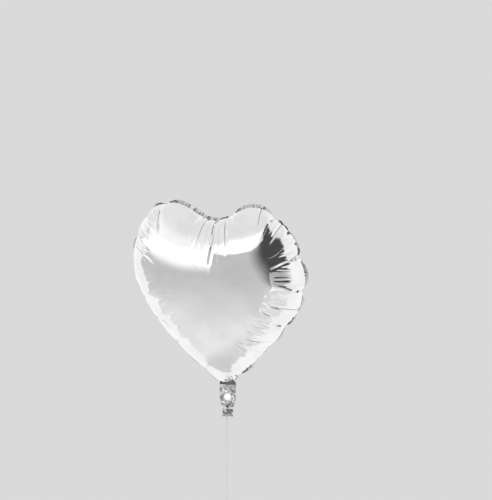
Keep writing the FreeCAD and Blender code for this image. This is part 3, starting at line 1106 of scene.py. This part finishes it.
studio = {  # a white paper floor, a grey room in front and three softboxes
    "centre": (0, 0, 0.25),
    "floorHeight": -0.42,
    "behind": 1.0, "behindHigh": 0.84,  # from here to cornerWay: what the foil sees of the room
    "front": 0.58, "below": 0.86, "above": 1.03, "overhead": 0.84, "nadir": 0.80, "corner": 0.07,
    "cornerWay": (0.806, -0.43, 0.407),  # a dark corner of the room, to the right and up
    "lowBand": (0.10, -0.75), "nadirBand": (-0.78, -0.97), "highBand": (0.50, 0.63), "overheadBand": (0.60, 0.95),
    "wallBand": (0.25, 0.75), "cornerBand": (0.76, 0.93),  # where one level turns into the next
    "backdrop": 0.70,  # what the camera sees of it
    "paper": ((0.85, 0.85, 0.853), (0.83, 0.83, 0.834)), "paperGrain": 900.0, "paperGlow": 0.93, "paperHalf": 14,
    "ambient": 0.78,
    "softboxes": [
        # degrees round and up from the heart, metres away, width, height, roll, radiance, then which shares of
        # the height are soft at the bottom and at the top
        ("keyLeft", -47, 19.9, 2.0, 3.1, 1.35, 0, 0.58, 0.30, 0.30),
        ("keyRight", -1, 40, 2.0, 2.6, 1.05, 33, 0.52, 0.03, 0.65),
        ("fillRight", 66, -6, 1.8, 1.6, 0.85, 0, 0.38, 0.03, 0.03),
    ],
}

scene = bpy.context.scene
scene.view_settings.view_transform = "Standard"


def makeWorld(s):
    # the mirror film sees bands of grey by height, one dark corner and a white wall behind; the camera and all
    # other light see one plain level each
    world = bpy.data.worlds.new("studio")
    scene.world = world
    world.use_nodes = True
    tree = world.node_tree
    tree.nodes.clear()
    way = tree.nodes.new("ShaderNodeTexCoord").outputs["Generated"]
    axes = tree.nodes.new("ShaderNodeSeparateXYZ")
    tree.links.new(way, axes.inputs[0])
    low = mapRange(tree, axes.outputs["Z"], *s["lowBand"])
    high = mapRange(tree, axes.outputs["Z"], *s["highBand"])
    above = mapRange(tree, axes.outputs["Z"], *s["overheadBand"], s["above"], s["overhead"])
    front = between(tree, low, s["front"], s["below"])
    deep = mapRange(tree, axes.outputs["Z"], *s["nadirBand"], 1.0, s["nadir"])
    front = times(tree, front, deep)
    front = between(tree, high, front, above)
    toCorner = tree.nodes.new("ShaderNodeVectorMath")
    toCorner.operation = "DOT_PRODUCT"
    tree.links.new(way, toCorner.inputs[0])
    toCorner.inputs[1].default_value = s["cornerWay"]
    corner = mapRange(tree, toCorner.outputs["Value"], *s["cornerBand"])
    front = between(tree, corner, front, s["corner"])
    back = mapRange(tree, axes.outputs["Y"], 0.0, 0.08)
    wall = mapRange(tree, axes.outputs["Z"], *s["wallBand"], s["behind"], s["behindHigh"])
    seen = between(tree, back, front, wall)
    path = tree.nodes.new("ShaderNodeLightPath")
    mirror = mathNode(tree, "MAXIMUM", path.outputs["Is Glossy Ray"], path.outputs["Is Transmission Ray"])
    level = between(tree, mirror, s["ambient"], seen)
    level = between(tree, path.outputs["Is Camera Ray"], level, s["backdrop"])
    background = tree.nodes.new("ShaderNodeBackground")
    tree.links.new(level, background.inputs["Color"])
    out = tree.nodes.new("ShaderNodeOutputWorld")
    tree.links.new(background.outputs[0], out.inputs["Surface"])


makeWorld(studio)


def makeSoftboxes(s):
    # each one faces the heart; its radiance fades towards its top and bottom edges
    for name, around, rise, away, wide, tall, roll, glow, softLow, softHigh in s["softboxes"]:
        lamp = bpy.data.lights.new(name, "AREA")
        lamp.shape = "RECTANGLE"
        lamp.size, lamp.size_y = wide, tall
        lamp.energy = glow * math.pi * wide * tall
        lamp.use_nodes = True
        tree = lamp.node_tree
        face = tree.nodes.new("ShaderNodeSeparateXYZ")
        tree.links.new(tree.nodes.new("ShaderNodeNewGeometry").outputs["Parametric"], face.inputs[0])
        fade = times(tree, mapRange(tree, face.outputs["Y"], 0.0, softLow),
                        mapRange(tree, face.outputs["Y"], 1.0, 1.0 - softHigh))
        tree.links.new(fade, tree.nodes["Emission"].inputs["Strength"])
        holder = bpy.data.objects.new(name, lamp)
        scene.collection.objects.link(holder)
        a, e = math.radians(around), math.radians(rise)
        way = Vector((math.sin(a) * math.cos(e), -math.cos(a) * math.cos(e), math.sin(e)))
        holder.location = Vector(s["centre"]) + way * away
        holder.rotation_mode = "QUATERNION"
        holder.rotation_quaternion = (-way).to_track_quat("-Z", "Y") @ Quaternion((0, 0, 1), math.radians(roll))
        holder.visible_camera = False


makeSoftboxes(studio)


def makeFloor(s):
    # one plain sheet of paper, which the camera sees mostly as the backdrop's level with the balloon's shadow
    m, tree, paper = startMaterial("floorPaper", Roughness=0.85)
    where = tree.nodes.new("ShaderNodeTexCoord").outputs["Object"]
    tree.links.new(mixColour(tree, noise(tree, where, s["paperGrain"]), *s["paper"]), paper.inputs["Base Color"])
    glow = tree.nodes.new("ShaderNodeEmission")
    glow.inputs["Color"].default_value = (s["backdrop"],) * 3 + (1,)
    path = tree.nodes.new("ShaderNodeLightPath")
    mix = tree.nodes.new("ShaderNodeMixShader")
    tree.links.new(times(tree, path.outputs["Is Camera Ray"], s["paperGlow"]), mix.inputs[0])
    tree.links.new(paper.outputs[0], mix.inputs[1])
    tree.links.new(glow.outputs[0], mix.inputs[2])
    tree.links.new(mix.outputs[0], tree.nodes["Material Output"].inputs["Surface"])
    z, side = s["floorHeight"], s["paperHalf"]
    corners = [(-side, -side, z), (side, -side, z), (side, 30, z), (-side, 30, z)]
    floor = makePiece("floor", corners, [[0, 1, 2, 3]], m, smooth=False)
    floor.visible_glossy = False  # the foil sees the plain room below instead


makeFloor(studio)
print("studio made")
